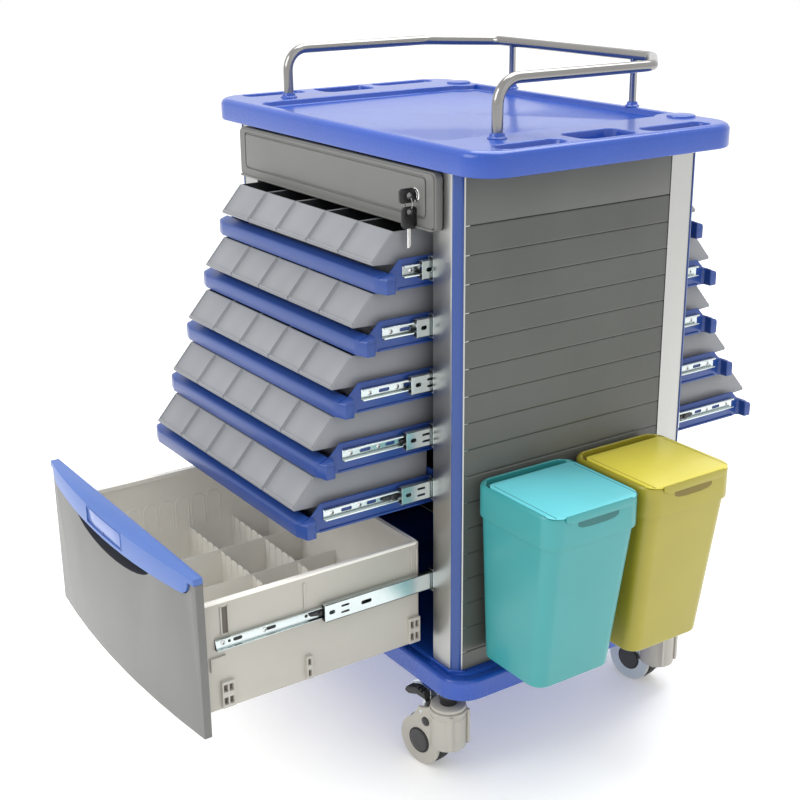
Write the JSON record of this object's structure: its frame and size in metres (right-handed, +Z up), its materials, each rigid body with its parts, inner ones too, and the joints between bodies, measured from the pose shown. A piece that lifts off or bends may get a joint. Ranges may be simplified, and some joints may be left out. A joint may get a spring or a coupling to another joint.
{
  "type": "medication cart",
  "caption": "Wheeled double-sided medication cart with sliding trays of tilt-front bins, two drawers, side waste bins with flap lids and swivel casters.",
  "frame": {"origin": "on the floor, under the middle of the cabinet's four columns", "axes": "+Z up, the front with the top drawer faces -Y, the waste bins hang on the +X side"},
  "size_m": [0.8606, 1.088, 1.046],
  "materials": {
    "blue_plastic": "satin moulded",
    "bin_plastic": "satin moulded",
    "panel_grey": "semi-gloss powder coat",
    "slat_grey": "semi-gloss",
    "column_silver": "satin anodised",
    "rail_steel": "satin",
    "slide_zinc": "zinc plated",
    "cabinet_black": "matt black",
    "box_white": "satin moulded",
    "caster_grey": "satin moulded",
    "tyre_black": "matt rubber",
    "pedal_black": "ridged",
    "lock_chrome": "polished",
    "key_black": "satin",
    "label_window": "clear over card",
    "teal_plastic": "satin moulded",
    "yellow_plastic": "satin moulded"
  },
  "bodies": {
    "cabinet": {"base": "blue_plastic", "columns": "column_silver", "column_strips": "blue_plastic", "top_board": "blue_plastic", "guard_rail": "rail_steel", "rail_sockets": "blue_plastic", "side_slats_right": "slat_grey", "side_slats_left": "slat_grey", "inner_walls": "cabinet_black", "rear_panels": "panel_grey", "slide_outer_members": "slide_zinc", "bin_brackets": "slide_zinc", "waste_bin_front": "teal_plastic", "waste_bin_back": "yellow_plastic", "waste_collar_front": "teal_plastic", "waste_collar_back": "yellow_plastic"},
    "front_tray_1": {"front_tray_1": "blue_plastic", "front_bins_1": "bin_plastic"},
    "back_tray_1": {"back_tray_1": "blue_plastic", "back_bins_1": "bin_plastic"},
    "front_tray_2": {"front_tray_2": "blue_plastic", "front_bins_2": "bin_plastic"},
    "back_tray_2": {"back_tray_2": "blue_plastic", "back_bins_2": "bin_plastic"},
    "front_tray_3": {"front_tray_3": "blue_plastic", "front_bins_3": "bin_plastic"},
    "back_tray_3": {"back_tray_3": "blue_plastic", "back_bins_3": "bin_plastic"},
    "front_tray_4": {"front_tray_4": "blue_plastic", "front_bins_4": "bin_plastic"},
    "back_tray_4": {"back_tray_4": "blue_plastic", "back_bins_4": "bin_plastic"},
    "front_tray_5": {"front_tray_5": "blue_plastic", "front_bins_5": "bin_plastic"},
    "back_tray_5": {"back_tray_5": "blue_plastic", "back_bins_5": "bin_plastic"},
    "top_drawer": {"top_drawer_front": "panel_grey", "top_drawer_box": "box_white", "lock_barrel": "lock_chrome"},
    "top_drawer_mid": {"top_drawer_mid": "slide_zinc"},
    "lock_plug": {"lock_key": "key_black"},
    "spare_key": {"spare_key": "key_black"},
    "bottom_drawer": {"drawer_front": "panel_grey", "drawer_handle": "blue_plastic", "drawer_label": "label_window", "drawer_box": "box_white", "drawer_dividers": "box_white"},
    "bottom_drawer_mid": {"drawer_mid": "slide_zinc"},
    "caster_front_right": {"caster_front_right": "caster_grey"},
    "wheel_front_right": {"wheel_front_right": "tyre_black"},
    "brake_pedal_right": {"brake_pedal_right": "pedal_black"},
    "caster_front_left": {"caster_front_left": "caster_grey"},
    "wheel_front_left": {"wheel_front_left": "tyre_black"},
    "brake_pedal_left": {"brake_pedal_left": "pedal_black"},
    "caster_back_right": {"caster_back_right": "caster_grey"},
    "wheel_back_right": {"wheel_back_right": "tyre_black"},
    "caster_back_left": {"caster_back_left": "caster_grey"},
    "wheel_back_left": {"wheel_back_left": "tyre_black"},
    "waste_flap_front": {"waste_flap_front": "teal_plastic"},
    "waste_flap_back": {"waste_flap_back": "yellow_plastic"}
  },
  "joints": [
    {"name": "front_tray_1_slide", "type": "slide", "parent": "cabinet", "child": "front_tray_1", "axis": [0, -1, 0], "range_m": [-0.06, 0.15]},
    {"name": "back_tray_1_slide", "type": "slide", "parent": "cabinet", "child": "back_tray_1", "axis": [0, 1, 0], "range_m": [-0.065, 0.145]},
    {"name": "front_tray_2_slide", "type": "slide", "parent": "cabinet", "child": "front_tray_2", "axis": [0, -1, 0], "range_m": [-0.094, 0.116]},
    {"name": "back_tray_2_slide", "type": "slide", "parent": "cabinet", "child": "back_tray_2", "axis": [0, 1, 0], "range_m": [-0.103, 0.107]},
    {"name": "front_tray_3_slide", "type": "slide", "parent": "cabinet", "child": "front_tray_3", "axis": [0, -1, 0], "range_m": [-0.13, 0.08]},
    {"name": "back_tray_3_slide", "type": "slide", "parent": "cabinet", "child": "back_tray_3", "axis": [0, 1, 0], "range_m": [-0.112, 0.098]},
    {"name": "front_tray_4_slide", "type": "slide", "parent": "cabinet", "child": "front_tray_4", "axis": [0, -1, 0], "range_m": [-0.163, 0.047]},
    {"name": "back_tray_4_slide", "type": "slide", "parent": "cabinet", "child": "back_tray_4", "axis": [0, 1, 0], "range_m": [-0.157, 0.053]},
    {"name": "front_tray_5_slide", "type": "slide", "parent": "cabinet", "child": "front_tray_5", "axis": [0, -1, 0], "range_m": [-0.196, 0.014]},
    {"name": "back_tray_5_slide", "type": "slide", "parent": "cabinet", "child": "back_tray_5", "axis": [0, 1, 0], "range_m": [-0.209, 0.001]},
    {"name": "top_drawer_slide", "type": "slide", "parent": "cabinet", "child": "top_drawer", "axis": [0, -1, 0], "range_m": [0, 0.24]},
    {"name": "top_drawer_mid_slide", "type": "slide", "parent": "cabinet", "child": "top_drawer_mid", "axis": [0, -1, 0], "range_m": [0, 0.12]},
    {"name": "lock_turn", "type": "hinge", "parent": "top_drawer", "child": "lock_plug", "pos_m": [0.233, -0.225, 0.888], "axis": [0, -1, 0], "range_deg": [0, 90]},
    {"name": "spare_key_hang", "type": "hinge", "parent": "lock_plug", "child": "spare_key", "pos_m": [0.233, -0.252, 0.8773], "axis": [0, -1, 0], "range_deg": [-90, 0]},
    {"name": "bottom_drawer_slide", "type": "slide", "parent": "cabinet", "child": "bottom_drawer", "axis": [0, -1, 0], "range_m": [-0.373, 0.005]},
    {"name": "bottom_drawer_mid_slide", "type": "slide", "parent": "cabinet", "child": "bottom_drawer_mid", "axis": [0, -1, 0], "range_m": [-0.1865, 0.0025]},
    {"name": "swivel_front_right", "type": "hinge", "parent": "cabinet", "child": "caster_front_right", "pos_m": [0.283, -0.219, 0.141], "axis": [0, 0, 1], "continuous": true},
    {"name": "roll_front_right", "type": "hinge", "parent": "caster_front_right", "child": "wheel_front_right", "pos_m": [0.24164, -0.22629, 0.041], "axis": [-0.1736, 0.9848, 0], "continuous": true},
    {"name": "brake_right", "type": "hinge", "parent": "caster_front_right", "child": "brake_pedal_right", "pos_m": [0.24459, -0.22577, 0.093], "axis": [-0.1736, 0.9848, 0], "range_deg": [-10, 0]},
    {"name": "swivel_front_left", "type": "hinge", "parent": "cabinet", "child": "caster_front_left", "pos_m": [-0.283, -0.219, 0.141], "axis": [0, 0, 1], "continuous": true},
    {"name": "roll_front_left", "type": "hinge", "parent": "caster_front_left", "child": "wheel_front_left", "pos_m": [-0.32375, -0.22916, 0.041], "axis": [-0.2419, 0.9703, 0], "continuous": true},
    {"name": "brake_left", "type": "hinge", "parent": "caster_front_left", "child": "brake_pedal_left", "pos_m": [-0.32084, -0.22843, 0.093], "axis": [-0.2419, 0.9703, 0], "range_deg": [-10, 0]},
    {"name": "swivel_back_right", "type": "hinge", "parent": "cabinet", "child": "caster_back_right", "pos_m": [0.283, 0.219, 0.141], "axis": [0, 0, 1], "continuous": true},
    {"name": "roll_back_right", "type": "hinge", "parent": "caster_back_right", "child": "wheel_back_right", "pos_m": [0.24164, 0.21171, 0.041], "axis": [-0.1736, 0.9848, 0], "continuous": true},
    {"name": "swivel_back_left", "type": "hinge", "parent": "cabinet", "child": "caster_back_left", "pos_m": [-0.283, 0.219, 0.141], "axis": [0, 0, 1], "continuous": true},
    {"name": "roll_back_left", "type": "hinge", "parent": "caster_back_left", "child": "wheel_back_left", "pos_m": [-0.32477, 0.21461, 0.041], "axis": [-0.1045, 0.9945, 0], "continuous": true},
    {"name": "waste_flap_front_hinge", "type": "hinge", "parent": "cabinet", "child": "waste_flap_front", "pos_m": [0.333, -0.113, 0.482], "axis": [0, -1, 0], "range_deg": [0, 85]},
    {"name": "waste_flap_back_hinge", "type": "hinge", "parent": "cabinet", "child": "waste_flap_back", "pos_m": [0.333, 0.067, 0.482], "axis": [0, -1, 0], "range_deg": [0, 85]}
  ],
  "couplings": [
    {"joint": "top_drawer_mid_slide", "follows": "top_drawer_slide", "ratio": 0.5},
    {"joint": "spare_key_hang", "follows": "lock_turn", "ratio": -1},
    {"joint": "bottom_drawer_mid_slide", "follows": "bottom_drawer_slide", "ratio": 0.5}
  ]
}
